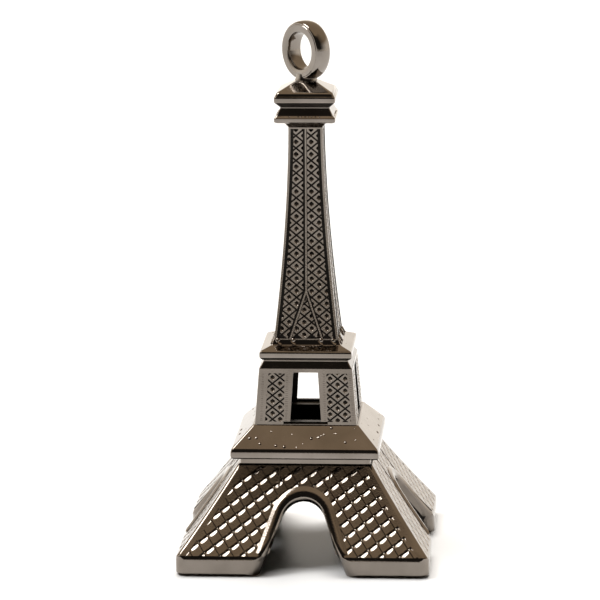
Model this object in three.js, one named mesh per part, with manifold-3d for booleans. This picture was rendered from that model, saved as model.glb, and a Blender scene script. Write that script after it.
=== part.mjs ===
// Miniature lattice tower charm: small plated castings stacked on square pegs, drawn together by one screw
// from inside the hollow base, with a swivel eye on the roof to hang it by.
// Millimetres, +Z up. The origin is on the ground, under the tower's axis.
import * as THREE from "three";
import { mergeVertices } from "three/addons/utils/BufferGeometryUtils.js";
import Module from "manifold-3d";

const wasm = await Module();
wasm.setup();

// ---- Driving dimensions. A "half" is half the width of a square section. ----

// Leg base: four feet on plinths, a hollow flared pyramid, an arch in each face, a neck at the top.
const FOOT_HALF = 11;
const FOOT_ROUNDING = 0.2;
const FOOT_CORNER_CUT = 0.7; // how much the plinths' upright corners are cut back, along either side
const HIP_CUT = 0.25; // the same, for the hips of the legs
const PLINTH_TOP = 1.62;
const LEG_TOP = 8.8;
const LEG_TOP_HALF = 5.9;
const LEG_SAG = 0.15; // how far the leg faces hollow in, halfway up
const LEG_STEPS = 5;
const BASE_NECK_HALF = 5.7;
const BASE_NECK_FOOT = 8.87;
const BASE_TOP = 9.2;
const BASE_WALL = 1.55;
const BASE_CEILING = 7.3;
const LEG_BORDER = 0.7;
const LEG_PANEL_TOP = 8.6;
const LEG_RIB_X = 2.2;
const LEG_RIB = 0.22;

// Arch: a round head that runs smoothly into straight sides, which splay outwards to the ground.
const ARCH_TOP = 6.15;
const ARCH_GROUND_HALF = 3.76;
const ARCH_SPLAY = 0.39; // how far a side leans out for each millimetre down
const ARCH_RIM = 0.9;
const ARCH_RIM_PROUD = 0.16;

// First platform, arcade and second platform.
const FIRST_EAVE_HALF = 6.49;
const FIRST_EAVE_BOTTOM = 9.36;
const FIRST_EAVE_TOP = 10.14;
const FIRST_TOP = 12;
const FIRST_TOP_HALF = 4.62;
const ARCADE_FOOT_HALF = 4.47;
const ARCADE_FACE_TOP = 16.92;
const ARCADE_FACE_TOP_HALF = 4.08;
const ARCADE_NECK_HALF = 3.72;
const ARCADE_NECK_FOOT = 17.45;
const ARCADE_TOP = 17.6;
const WINDOW_SILL = 12.28;
const WINDOW_HEAD = 16.6;
const WINDOW_SILL_HALF = 1.36;
const WINDOW_HEAD_HALF = 1.08;
const SILL_STEP_HALF = 1.95;
const SILL_STEP_DEPTH = 0.14;
const ARCADE_PANEL_INNER = 1.95; // of a panel's edge beside the window, from the face's middle
const ARCADE_PANEL_LEAN = 0.1;
const ARCADE_PANEL_BORDER = 0.6;
const ARCADE_PANEL_INSET = 0.1;
const ROOM_HALF = 2.7; // the hollow under the arcade's floor, which runs down into the first platform
const ROOM_FLOOR = 10.75;
const HALL_FLOOR = 12.12; // the wider hollow behind the windows, inside thin walls
const HALL_FOOT_HALF = 4.1;
const HALL_TOP_HALF = 3.8;
const HALL_TOP = 16.4;
const BOX_HALF = 3.1; // the foot of the arcade that carries the hollow's floor
const BOX_FOOT = 10.35;
const SECOND_EAVE_HALF = 4.05;
const SECOND_EAVE_BOTTOM = 17.84;
const SECOND_EAVE_TOP = 18.42;
const SKIRT_FOOT = 18.8; // where the second platform's slope turns up to meet the spire
const SKIRT_FOOT_HALF = 3.05;
const SECOND_TOP = 19.25;
const SECOND_TOP_HALF = 2.87;

// Spire: a concave taper, with a rib up the middle of each face that forks near the foot.
const SPIRE_TOP = 37.85;
const SPIRE_TOP_HALF = 1.5;
const SPIRE_FOOT_HALF = 2.83;
const SPIRE_CURVE = 1.7;
const SPIRE_STEPS = 10;
const SPIRE_BORDER = 0.24;
const SPIRE_PANEL_FOOT = 19.5;
const SPIRE_PANEL_TOP = 37.7;
const SPIRE_FORK = 23.4;
const SPIRE_RIB = 0.16;

// Gallery under the roof.
const GALLERY_HALF = 2.66;
const GALLERY_NECK_HALF = 2.15;
const COLLAR_HALF = 1.5;
const COLLAR_TOP = 38.3;
const COLLAR_TOP_HALF = 1.85;
const DECK_EASE = 0.13;
const DECK_EASE_HALF = 2.41;
const DECK_NECK_FOOT = 39.62;
const DECK_EAVE_BOTTOM = 38.35;
const DECK_EAVE_TOP = 38.8;
const DECK_TOP = 39.7;
const CORNICE_EAVE_BOTTOM = 40.18;
const CORNICE_EAVE_TOP = 40.56;
const CORNICE_TOP = 40.7;
const ROOF_EAVE_HALF = 2.48;
const ROOF_EAVE_TOP = 41;
const ROOF_TOP = 41.75;
const ROOF_TOP_HALF = 1.02;

// Swivel eye, its stem in the roof and the washer that the stem is headed over.
const EYE_RADIUS = 2.62;
const EYE_HOLE_RADIUS = 1.62;
const EYE_HALF_THICKNESS = 0.78;
const EYE_CENTRE = 44.42;
const EYE_TURN = THREE.MathUtils.degToRad(47); // how far the eye's hole is turned from the front, to the left
const EYE_RIM_DEPTH = 0.3; // how far the barrel-shaped rim stands out from the flat sides
const EYE_HOLE_EASE = 0.1;
const EYE_NECK_RADIUS = 1;
const EYE_NECK_WAIST_RADIUS = 0.93;
const EYE_NECK_WAIST = 0.25;
const EYE_NECK_TOP_RADIUS = 0.56;
const EYE_NECK_HEIGHT = 0.75;
const STEM_RADIUS = 0.8;
const STEM_CLEARANCE = 0.05;
const STEM_HEAD_RADIUS = 1.1;
const STEM_HEAD_THICKNESS = 0.35;
const ROOF_CHAMBER_RADIUS = 1.32;
const ROOF_CHAMBER_TOP = 41.18;
const ROOF_SPIGOT_RADIUS = 1.75;
const ROOF_SPIGOT_LENGTH = 0.32;
const EYE_WASHER_RADIUS = 1.24;
const EYE_WASHER_THICKNESS = 0.16;

// Pegs and sockets that key the castings together, and the screw that draws them up.
const LOWER_PEG_HALF = 1.5;
const UPPER_PEG_HALF = 1.3;
const TOP_PEG_HALF = 0.75;
const PEG_CLEARANCE = 0.04;
const PEG_END_GAP = 0.06;
const LOWER_PEG_FOOT = 8.8;
const UPPER_PEG_FOOT = 16.95;
const TOP_PEG_TOP = 40.1;
const SCREW_RADIUS = 0.8;
const SCREW_CLEARANCE = 0.04;
const SCREW_TIP = 10.2;
const SCREW_HEAD_RADIUS = 1.5;
const SCREW_HEAD_THICKNESS = 0.9;
const SCREW_SLOT_WIDTH = 0.35;
const SCREW_SLOT_DEPTH = 0.4;
const WASHER_RADIUS = 1.9;
const WASHER_THICKNESS = 0.25;

const PANEL_DEPTH = 0.12; // of every recessed lattice panel
const HEAD_TAPER = 0.75; // of the stem's and the screw's heads, from full radius to the end
const ROUND_STEPS = 32;
const BEYOND = 1; // how far a cutter runs past what it cuts
const QUARTER_TURN = Math.PI / 2;

// ---- Solids from geometry ----

// A closed geometry as a manifold solid, with shared vertices merged and collapsed faces dropped.
function solidOf(geometry) {
  const bare = geometry.clone();
  bare.deleteAttribute("normal");
  bare.deleteAttribute("uv");
  const merged = mergeVertices(bare);
  const corners = merged.index.array;
  const kept = [];
  for (let i = 0; i < corners.length; i += 3) {
    const [a, b, c] = corners.slice(i, i + 3);
    if (a !== b && b !== c && c !== a) kept.push(a, b, c);
  }
  return new wasm.Manifold(
    new wasm.Mesh({
      numProp: 3,
      vertProperties: merged.attributes.position.array,
      triVerts: new Uint32Array(kept),
    }),
  );
}

// A manifold solid as a flat-shaded three.js geometry.
function geometryOf(solid) {
  const mesh = solid.getMesh();
  const indexed = new THREE.BufferGeometry()
    .setAttribute("position", new THREE.BufferAttribute(mesh.vertProperties, 3))
    .setIndex(new THREE.BufferAttribute(mesh.triVerts, 1));
  const flat = indexed.toNonIndexed();
  flat.computeVertexNormals();
  return flat;
}

// A profile of [radius, height] pairs, bottom to top, turned about +Z.
function turned(profile, steps = ROUND_STEPS) {
  const points = profile.map(([radius, height]) => new THREE.Vector2(radius, height));
  return solidOf(new THREE.LatheGeometry(points, steps).rotateX(QUARTER_TURN));
}

// A profile of [half, height] pairs, bottom to top, as a stack of square sections about +Z.
function squareStack(profile) {
  const points = profile.map(([half, height]) => new THREE.Vector2(half * Math.SQRT2, height));
  const onAxis = [new THREE.Vector2(0, points[0].y), ...points, new THREE.Vector2(0, points.at(-1).y)];
  return solidOf(new THREE.LatheGeometry(onAxis, 4).rotateX(QUARTER_TURN).rotateZ(QUARTER_TURN / 2));
}

const squarePrism = (half, low, high) => squareStack([[half, low], [half, high]]);

const roundPrism = (radius, low, high) => turned([[0, low], [radius, low], [radius, high], [0, high]]);

// An outline in X and Z, carried along Y over the given stretch.
function alongY(shape, from, to) {
  const geometry = new THREE.ExtrudeGeometry(shape, {
    depth: to - from,
    bevelEnabled: false,
    curveSegments: ROUND_STEPS / 2,
  });
  return solidOf(geometry.rotateX(QUARTER_TURN).translate(0, to, 0));
}

const outline = (points) => new THREE.Shape(points.map(([x, z]) => new THREE.Vector2(x, z)));

// The same solid on all four faces of the tower.
function onFourFaces(solid) {
  let all = solid;
  for (let turn = 1; turn < 4; turn += 1) all = all.add(solid.rotate([0, 0, 90 * turn]));
  return all;
}

// A skin with recessed panels cut into all four faces. The skin takes how far it is moved out.
function withPanels(skin, panels) {
  return skin(0).subtract(onFourFaces(panels)).add(skin(-PANEL_DEPTH));
}

// ---- Leg base ----

const legHalfAt = (z) => {
  const rise = (z - PLINTH_TOP) / (LEG_TOP - PLINTH_TOP);
  const straight = THREE.MathUtils.lerp(FOOT_HALF, LEG_TOP_HALF, rise);
  return straight - LEG_SAG * 4 * rise * (1 - rise);
};

// The legs' outer skin, moved out or in by an offset, from the plinth to the top of the legs.
function legSkin(offset) {
  const profile = [];
  for (let step = 0; step <= LEG_STEPS; step += 1) {
    const z = THREE.MathUtils.lerp(PLINTH_TOP, LEG_TOP, step / LEG_STEPS);
    profile.push([legHalfAt(z) + offset, z]);
  }
  return squareStack(profile);
}

// The arch's opening, or with a band its rim's outer edge. The head's circle touches both sides and the top.
function archOutline(band) {
  const lean = Math.hypot(1, ARCH_SPLAY);
  const ground = ARCH_GROUND_HALF + band * lean;
  const top = ARCH_TOP + band;
  const centre = (lean * top - ground) / (lean - ARCH_SPLAY);
  const start = Math.atan(ARCH_SPLAY);
  const foot = ground + ARCH_SPLAY * BEYOND;
  const shape = new THREE.Shape();
  shape.moveTo(-foot, -BEYOND);
  shape.lineTo(foot, -BEYOND);
  shape.absarc(0, centre, top - centre, start, Math.PI - start, false);
  return shape;
}

// Recessed lattice panels of one face: left and right of the arch, and over it between two ribs.
function legPanels() {
  const left = -legHalfAt(PLINTH_TOP) + LEG_BORDER;
  const topLeft = -legHalfAt(LEG_PANEL_TOP) + LEG_BORDER;
  const foot = PLINTH_TOP + LEG_BORDER / 2;
  const face = outline([[left, foot], [-left, foot], [-topLeft, LEG_PANEL_TOP], [topLeft, LEG_PANEL_TOP]]);
  const rib = outline([
    [LEG_RIB_X - LEG_RIB / 2, ARCH_TOP - LEG_RIB_X],
    [LEG_RIB_X + LEG_RIB / 2, ARCH_TOP - LEG_RIB_X],
    [LEG_RIB_X + LEG_RIB / 2, LEG_TOP],
    [LEG_RIB_X - LEG_RIB / 2, LEG_TOP],
  ]);
  const ribRight = alongY(rib, -FOOT_HALF - BEYOND, 0);
  return alongY(face, -FOOT_HALF, -LEG_TOP_HALF + BEYOND)
    .subtract(alongY(archOutline(ARCH_RIM), -FOOT_HALF - BEYOND, 0))
    .subtract(ribRight)
    .subtract(ribRight.mirror([1, 0, 0]));
}

// Everything inside the cut-back corners of the plinths and the hips of the legs.
function cutCorners() {
  const profile = [
    [2 * FOOT_HALF - FOOT_CORNER_CUT, -BEYOND],
    [2 * FOOT_HALF - FOOT_CORNER_CUT, PLINTH_TOP],
  ];
  for (let step = 1; step <= LEG_STEPS; step += 1) {
    const z = THREE.MathUtils.lerp(PLINTH_TOP, LEG_TOP, step / LEG_STEPS);
    profile.push([2 * legHalfAt(z) - HIP_CUT, z]);
  }
  profile.push([2 * LEG_TOP_HALF - HIP_CUT, BASE_TOP + BEYOND]);
  const diagonal = profile.map(([reach, z]) => [reach / Math.SQRT2, z]);
  return squareStack(diagonal).rotate([0, 0, 45]);
}

function legBase() {
  const plinth = squareStack([
    [FOOT_HALF - FOOT_ROUNDING, 0],
    [FOOT_HALF, FOOT_ROUNDING],
    [FOOT_HALF, PLINTH_TOP],
  ]);
  const neck = squareStack([
    [LEG_TOP_HALF, LEG_TOP],
    [BASE_NECK_HALF, BASE_NECK_FOOT],
    [BASE_NECK_HALF, BASE_TOP],
  ]);
  const hollow = squareStack([
    [FOOT_HALF - BASE_WALL, -BEYOND],
    [FOOT_HALF - BASE_WALL, PLINTH_TOP / 2],
    [legHalfAt(BASE_CEILING) - BASE_WALL, BASE_CEILING],
  ]);
  const rim = alongY(archOutline(ARCH_RIM), -FOOT_HALF, 0).intersect(legSkin(ARCH_RIM_PROUD));
  const tunnel = alongY(archOutline(0), -FOOT_HALF - BEYOND, FOOT_HALF + BEYOND);
  return withPanels(legSkin, legPanels())
    .add(onFourFaces(rim))
    .add(plinth)
    .add(neck)
    .intersect(cutCorners())
    .subtract(hollow)
    .subtract(tunnel)
    .subtract(tunnel.rotate([0, 0, 90]))
    .subtract(roundPrism(SCREW_RADIUS + SCREW_CLEARANCE, BASE_CEILING - BEYOND, BASE_TOP + BEYOND))
    .subtract(squarePrism(LOWER_PEG_HALF + PEG_CLEARANCE, LOWER_PEG_FOOT - PEG_END_GAP, BASE_TOP + BEYOND));
}

// ---- Platforms and arcade ----

function firstPlatform() {
  return squareStack([
    [BASE_NECK_HALF, BASE_TOP],
    [FIRST_EAVE_HALF, FIRST_EAVE_BOTTOM],
    [FIRST_EAVE_HALF, FIRST_EAVE_TOP],
    [FIRST_TOP_HALF, FIRST_TOP],
  ])
    .subtract(squarePrism(LOWER_PEG_HALF + PEG_CLEARANCE, BASE_TOP - BEYOND, FIRST_TOP + BEYOND))
    .subtract(squarePrism(BOX_HALF + PEG_CLEARANCE, BOX_FOOT - PEG_END_GAP, FIRST_TOP + BEYOND));
}

const arcadeHalfAt = (z) =>
  THREE.MathUtils.mapLinear(z, FIRST_TOP, ARCADE_FACE_TOP, ARCADE_FOOT_HALF, ARCADE_FACE_TOP_HALF);

const arcadeSkin = (offset) =>
  squareStack([
    [ARCADE_FOOT_HALF + offset, FIRST_TOP],
    [ARCADE_FACE_TOP_HALF + offset, ARCADE_FACE_TOP],
  ]);

// Recessed lattice panels either side of one window, and the shallow step under its sill.
function arcadePanels() {
  const low = WINDOW_SILL + ARCADE_PANEL_INSET;
  const high = WINDOW_HEAD - ARCADE_PANEL_INSET;
  const right = outline([
    [ARCADE_PANEL_INNER, low],
    [arcadeHalfAt(low) - ARCADE_PANEL_BORDER, low],
    [arcadeHalfAt(high) - ARCADE_PANEL_BORDER, high],
    [ARCADE_PANEL_INNER - ARCADE_PANEL_LEAN, high],
  ]);
  const panel = alongY(right, -FIRST_TOP_HALF - BEYOND, -ARCADE_NECK_HALF);
  const step = outline([
    [-SILL_STEP_HALF, FIRST_TOP - BEYOND],
    [SILL_STEP_HALF, FIRST_TOP - BEYOND],
    [SILL_STEP_HALF, WINDOW_SILL],
    [-SILL_STEP_HALF, WINDOW_SILL],
  ]);
  const sill = alongY(step, -FIRST_TOP_HALF - BEYOND, -ARCADE_FOOT_HALF + SILL_STEP_DEPTH);
  return { panel: panel.add(panel.mirror([1, 0, 0])), sill };
}

function arcadeTier() {
  const opening = outline([
    [-WINDOW_SILL_HALF, WINDOW_SILL],
    [WINDOW_SILL_HALF, WINDOW_SILL],
    [WINDOW_HEAD_HALF, WINDOW_HEAD],
    [-WINDOW_HEAD_HALF, WINDOW_HEAD],
  ]);
  const window = alongY(opening, -FOOT_HALF, FOOT_HALF);
  const neck = squareStack([
    [ARCADE_FACE_TOP_HALF, ARCADE_FACE_TOP],
    [ARCADE_NECK_HALF, ARCADE_NECK_FOOT],
    [ARCADE_NECK_HALF, ARCADE_TOP],
  ]);
  const hollow = squareStack([
    [ROOM_HALF, ROOM_FLOOR],
    [ROOM_HALF, HALL_FLOOR],
    [HALL_FOOT_HALF, HALL_FLOOR],
    [HALL_TOP_HALF, HALL_TOP],
  ]);
  const { panel, sill } = arcadePanels();
  return withPanels(arcadeSkin, panel)
    .subtract(onFourFaces(sill))
    .add(neck)
    .add(squarePrism(BOX_HALF, BOX_FOOT, FIRST_TOP))
    .subtract(window)
    .subtract(window.rotate([0, 0, 90]))
    .subtract(hollow)
    .add(squarePrism(LOWER_PEG_HALF, LOWER_PEG_FOOT, BOX_FOOT))
    .subtract(roundPrism(SCREW_RADIUS + SCREW_CLEARANCE, LOWER_PEG_FOOT - BEYOND, SCREW_TIP + PEG_END_GAP))
    .subtract(squarePrism(UPPER_PEG_HALF + PEG_CLEARANCE, UPPER_PEG_FOOT - PEG_END_GAP, ARCADE_TOP + BEYOND));
}

function secondPlatform() {
  return squareStack([
    [ARCADE_NECK_HALF, ARCADE_TOP],
    [SECOND_EAVE_HALF, SECOND_EAVE_BOTTOM],
    [SECOND_EAVE_HALF, SECOND_EAVE_TOP],
    [SKIRT_FOOT_HALF, SKIRT_FOOT],
    [SECOND_TOP_HALF, SECOND_TOP],
  ]).subtract(squarePrism(UPPER_PEG_HALF + PEG_CLEARANCE, ARCADE_TOP - BEYOND, SECOND_TOP + BEYOND));
}

// ---- Spire ----

const spireHalfAt = (z) => {
  const drop = (SPIRE_TOP - z) / (SPIRE_TOP - SECOND_TOP);
  return SPIRE_TOP_HALF + (SPIRE_FOOT_HALF - SPIRE_TOP_HALF) * drop ** SPIRE_CURVE;
};

function spireSkin(offset) {
  const profile = [];
  for (let step = 0; step <= SPIRE_STEPS; step += 1) {
    const z = THREE.MathUtils.lerp(SECOND_TOP, SPIRE_TOP, step / SPIRE_STEPS);
    profile.push([spireHalfAt(z) + offset, z]);
  }
  return squareStack(profile);
}

// Recessed panels of one face, left clear of the middle rib and of the two it forks into.
function spirePanels() {
  const edge = [];
  for (let step = 0; step <= SPIRE_STEPS; step += 1) {
    const z = THREE.MathUtils.lerp(SPIRE_PANEL_FOOT, SPIRE_PANEL_TOP, step / SPIRE_STEPS);
    edge.push([spireHalfAt(z) - SPIRE_BORDER, z]);
  }
  const mirrored = edge.map(([x, z]) => [-x, z]).reverse();
  const face = alongY(outline([...edge, ...mirrored]), -SPIRE_FOOT_HALF - BEYOND, -SPIRE_TOP_HALF / 2);
  const middle = outline([
    [-SPIRE_RIB / 2, SPIRE_FORK - SPIRE_RIB],
    [SPIRE_RIB / 2, SPIRE_FORK - SPIRE_RIB],
    [SPIRE_RIB / 2, SPIRE_TOP],
    [-SPIRE_RIB / 2, SPIRE_TOP],
  ]);
  const forkFoot = SPIRE_FOOT_HALF / 2;
  const fork = outline([
    [0, SPIRE_FORK - SPIRE_RIB],
    [forkFoot - SPIRE_RIB, SECOND_TOP],
    [forkFoot, SECOND_TOP],
    [0, SPIRE_FORK + SPIRE_RIB * 2],
  ]);
  const past = -SPIRE_FOOT_HALF - 2 * BEYOND;
  const forkRight = alongY(fork, past, 0);
  return face
    .subtract(alongY(middle, past, 0))
    .subtract(forkRight)
    .subtract(forkRight.mirror([1, 0, 0]));
}

function spire() {
  return withPanels(spireSkin, spirePanels())
    .add(squarePrism(UPPER_PEG_HALF, UPPER_PEG_FOOT, SECOND_TOP))
    .add(squarePrism(TOP_PEG_HALF, SPIRE_TOP, TOP_PEG_TOP));
}

// ---- Gallery and roof ----

function galleryDeck() {
  return squareStack([
    [COLLAR_HALF, SPIRE_TOP],
    [COLLAR_TOP_HALF, COLLAR_TOP],
    [DECK_EASE_HALF, DECK_EAVE_BOTTOM],
    [GALLERY_HALF, DECK_EAVE_BOTTOM + DECK_EASE],
    [GALLERY_HALF, DECK_EAVE_TOP],
    [GALLERY_NECK_HALF, DECK_NECK_FOOT],
    [GALLERY_NECK_HALF, DECK_TOP],
  ]).subtract(squarePrism(TOP_PEG_HALF + PEG_CLEARANCE, SPIRE_TOP - BEYOND, DECK_TOP + BEYOND));
}

function galleryCornice() {
  const chamberFloor = CORNICE_TOP - ROOF_SPIGOT_LENGTH - PEG_END_GAP;
  return squareStack([
    [GALLERY_NECK_HALF, DECK_TOP],
    [GALLERY_HALF, CORNICE_EAVE_BOTTOM],
    [GALLERY_HALF, CORNICE_EAVE_TOP],
    [ROOF_EAVE_HALF, CORNICE_TOP],
  ])
    .subtract(squarePrism(TOP_PEG_HALF + PEG_CLEARANCE, DECK_TOP - BEYOND, CORNICE_TOP + BEYOND))
    .subtract(roundPrism(ROOF_SPIGOT_RADIUS + PEG_CLEARANCE, chamberFloor, CORNICE_TOP + BEYOND));
}

function roofCap() {
  const spigotFoot = CORNICE_TOP - ROOF_SPIGOT_LENGTH;
  return squareStack([
    [ROOF_EAVE_HALF, CORNICE_TOP],
    [ROOF_EAVE_HALF, ROOF_EAVE_TOP],
    [ROOF_TOP_HALF, ROOF_TOP],
  ])
    .add(roundPrism(ROOF_SPIGOT_RADIUS, spigotFoot, CORNICE_TOP))
    .subtract(roundPrism(ROOF_CHAMBER_RADIUS, spigotFoot - BEYOND, ROOF_CHAMBER_TOP))
    .subtract(roundPrism(STEM_RADIUS + STEM_CLEARANCE, ROOF_CHAMBER_TOP - BEYOND, ROOF_TOP + BEYOND));
}

// ---- Swivel eye ----

// The ring's section has flat sides, a barrel-shaped rim and an eased edge at the hole.
function eyeRing() {
  const flatTo = EYE_RADIUS - EYE_RIM_DEPTH;
  const section = [
    [EYE_HOLE_RADIUS, EYE_HOLE_EASE - EYE_HALF_THICKNESS],
    [EYE_HOLE_RADIUS + EYE_HOLE_EASE, -EYE_HALF_THICKNESS],
  ];
  const rimSteps = 8;
  for (let step = 0; step <= rimSteps; step += 1) {
    const angle = Math.PI * (step / rimSteps - 0.5);
    const radius = flatTo + EYE_RIM_DEPTH * Math.cos(angle);
    section.push([radius, EYE_HALF_THICKNESS * Math.sin(angle)]);
  }
  section.push([EYE_HOLE_RADIUS + EYE_HOLE_EASE, EYE_HALF_THICKNESS]);
  section.push([EYE_HOLE_RADIUS, EYE_HALF_THICKNESS - EYE_HOLE_EASE]);
  section.push(section[0]);
  return turned(section, 2 * ROUND_STEPS)
    .rotate([90, 0, 0])
    .rotate([0, 0, -THREE.MathUtils.radToDeg(EYE_TURN)])
    .translate([0, 0, EYE_CENTRE]);
}

function hangingEye() {
  const shoulder = ROOF_TOP + STEM_CLEARANCE;
  const headTop = ROOF_CHAMBER_TOP - EYE_WASHER_THICKNESS - STEM_CLEARANCE;
  const headFoot = headTop - STEM_HEAD_THICKNESS;
  const stem = turned([
    [0, headFoot],
    [STEM_HEAD_RADIUS * HEAD_TAPER, headFoot],
    [STEM_HEAD_RADIUS, headFoot + STEM_HEAD_THICKNESS / 2],
    [STEM_HEAD_RADIUS, headTop],
    [STEM_RADIUS, headTop],
    [STEM_RADIUS, shoulder],
    [EYE_NECK_RADIUS, shoulder],
    [EYE_NECK_WAIST_RADIUS, shoulder + EYE_NECK_WAIST],
    [EYE_NECK_TOP_RADIUS, shoulder + EYE_NECK_HEIGHT],
    [0, shoulder + EYE_NECK_HEIGHT],
  ]);
  return eyeRing().add(stem);
}

function eyeWasher() {
  const top = ROOF_CHAMBER_TOP - STEM_CLEARANCE / 2;
  return roundPrism(EYE_WASHER_RADIUS, top - EYE_WASHER_THICKNESS, top)
    .subtract(roundPrism(STEM_RADIUS + STEM_CLEARANCE, ROOF_CHAMBER_TOP - BEYOND, ROOF_TOP));
}

// ---- Base screw and its washer ----

function baseWasher() {
  return roundPrism(WASHER_RADIUS, BASE_CEILING - WASHER_THICKNESS, BASE_CEILING)
    .subtract(roundPrism(SCREW_RADIUS + SCREW_CLEARANCE, BASE_CEILING - BEYOND, BASE_CEILING + BEYOND));
}

function baseScrew() {
  const seat = BASE_CEILING - WASHER_THICKNESS;
  const foot = seat - SCREW_HEAD_THICKNESS;
  const slot = outline([
    [-SCREW_SLOT_WIDTH / 2, foot - BEYOND],
    [SCREW_SLOT_WIDTH / 2, foot - BEYOND],
    [SCREW_SLOT_WIDTH / 2, foot + SCREW_SLOT_DEPTH],
    [-SCREW_SLOT_WIDTH / 2, foot + SCREW_SLOT_DEPTH],
  ]);
  return turned([
    [0, foot],
    [SCREW_HEAD_RADIUS * HEAD_TAPER, foot],
    [SCREW_HEAD_RADIUS, foot + SCREW_HEAD_THICKNESS / 2],
    [SCREW_HEAD_RADIUS, seat],
    [SCREW_RADIUS, seat],
    [SCREW_RADIUS, SCREW_TIP - SCREW_RADIUS / 2],
    [SCREW_RADIUS / 2, SCREW_TIP],
    [0, SCREW_TIP],
  ]).subtract(alongY(slot, -SCREW_HEAD_RADIUS - BEYOND, SCREW_HEAD_RADIUS + BEYOND));
}

// ---- The assembly ----

const metal = (color, roughness) => new THREE.MeshStandardMaterial({ color, roughness, metalness: 0.95 });

const latticeCasting = () => metal(0x5a5048, 0.3);
const smoothCasting = () => metal(0x6b6157, 0.24);
const eyeMetal = () => metal(0x8a8279, 0.2);
const fastenerSteel = () => metal(0x9a9a9c, 0.35);

function piece(name, solid, material) {
  const mesh = new THREE.Mesh(geometryOf(solid), material);
  mesh.name = name;
  return mesh;
}

const tower = new THREE.Group();
tower.add(
  piece("leg_base", legBase(), latticeCasting()),
  piece("first_platform", firstPlatform(), smoothCasting()),
  piece("arcade_tier", arcadeTier(), latticeCasting()),
  piece("second_platform", secondPlatform(), smoothCasting()),
  piece("spire", spire(), latticeCasting()),
  piece("gallery_deck", galleryDeck(), smoothCasting()),
  piece("gallery_cornice", galleryCornice(), smoothCasting()),
  piece("roof_cap", roofCap(), smoothCasting()),
  piece("hanging_eye", hangingEye(), eyeMetal()),
  piece("eye_washer", eyeWasher(), fastenerSteel()),
  piece("base_screw", baseScrew(), fastenerSteel()),
  piece("base_washer", baseWasher(), fastenerSteel()),
);

export default tower;
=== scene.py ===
import math
import random

import bmesh
import bpy
from mathutils import Matrix, Vector


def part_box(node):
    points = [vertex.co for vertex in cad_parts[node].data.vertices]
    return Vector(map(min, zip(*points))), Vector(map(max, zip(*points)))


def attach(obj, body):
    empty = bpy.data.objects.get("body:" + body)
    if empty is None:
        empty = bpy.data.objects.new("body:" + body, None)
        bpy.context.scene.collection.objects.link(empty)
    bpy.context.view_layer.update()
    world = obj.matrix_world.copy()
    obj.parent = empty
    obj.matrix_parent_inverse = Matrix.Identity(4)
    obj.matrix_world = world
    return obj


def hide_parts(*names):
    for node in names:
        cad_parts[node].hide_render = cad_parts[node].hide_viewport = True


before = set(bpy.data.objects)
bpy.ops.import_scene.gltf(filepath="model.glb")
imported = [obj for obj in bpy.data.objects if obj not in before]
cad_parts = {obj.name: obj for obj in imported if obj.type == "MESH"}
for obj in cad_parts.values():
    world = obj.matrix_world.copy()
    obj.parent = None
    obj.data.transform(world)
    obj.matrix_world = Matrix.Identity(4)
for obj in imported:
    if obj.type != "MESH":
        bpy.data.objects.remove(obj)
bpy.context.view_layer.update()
random.seed(11)

# The shapes are worked out in millimetres and scaled to metres when a piece is finished.
MM = 0.001


def span(node):
    """Lowest z, highest z and half width along X of a CAD node, in millimetres."""
    low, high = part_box(node)
    return low.z / MM, high.z / MM, high.x / MM


# ---------------------------------------------------------------- driving dimensions, in millimetres
_, BASE_TOP, FOOT_HALF = span("leg_base")
FIRST_BOTTOM, FIRST_TOP, FIRST_HALF = span("first_platform")
_, ARCADE_TOP, ARCADE_HALF = span("arcade_tier")
SECOND_BOTTOM, SECOND_TOP, SECOND_HALF = span("second_platform")
DECK_BOTTOM, DECK_TOP, GALLERY_HALF = span("gallery_deck")
CORNICE_BOTTOM, CORNICE_TOP, _ = span("gallery_cornice")
_, ROOF_TOP, ROOF_HALF = span("roof_cap")
EYE_FOOT, EYE_TOP, _ = span("hanging_eye")
SPIRE_BOTTOM = SECOND_TOP
SPIRE_TOP = DECK_BOTTOM

PLINTH_TOP = 1.62
PLINTH_EDGE = 0.26
PLINTH_FOOT_CHAMFER = 0.24
PLINTH_CORNER = 0.85
HIP_CORNER = 0.36
LEG_TOP = 8.7
LEG_TOP_HALF = 5.9
LEG_SAG = 0.1
LEG_NORMAL_OUT = 0.815
LEG_NORMAL_UP = 0.579
BASE_NECK_HALF = 5.7
BASE_NECK_FOOT = 8.77
BASE_WALL = 1.55
BASE_CEILING = 7.3
LEG_BORDER = 0.8
LEG_PAD_CENTRE = (3.40, 6.06)
LEG_PAD_STEPS = ((0.79, 0.53), (0.583, -0.758))
LEG_PANEL_TOP = 8.62
LEG_RIB_X = 2.2
SCREW_HOLE_RADIUS = 0.84

ARCH_TOP = 6.15
ARCH_GROUND_HALF = 3.76
ARCH_SPLAY = 0.39
ARCH_RIM = 1.0
ARCH_CLEARANCE = -0.03  # the opening is cut this much narrower than the rim's inner edge

FIRST_EAVE_BOTTOM = 9.36
FIRST_EAVE_TOP = 10.14
FIRST_TOP_HALF = 4.62
SECOND_EAVE_BOTTOM = 17.84
SECOND_EAVE_TOP = 18.42
SKIRT_FOOT = 18.8
SKIRT_FOOT_HALF = 3.05
SKIRT_TOP_HALF = 2.87
SKIRT_RIDGES = (-2.6, -1.35, 1.05, 2.2)
SKIRT_KNOBS = (-2.5, -1.15, 1.3, 2.35)

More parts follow.
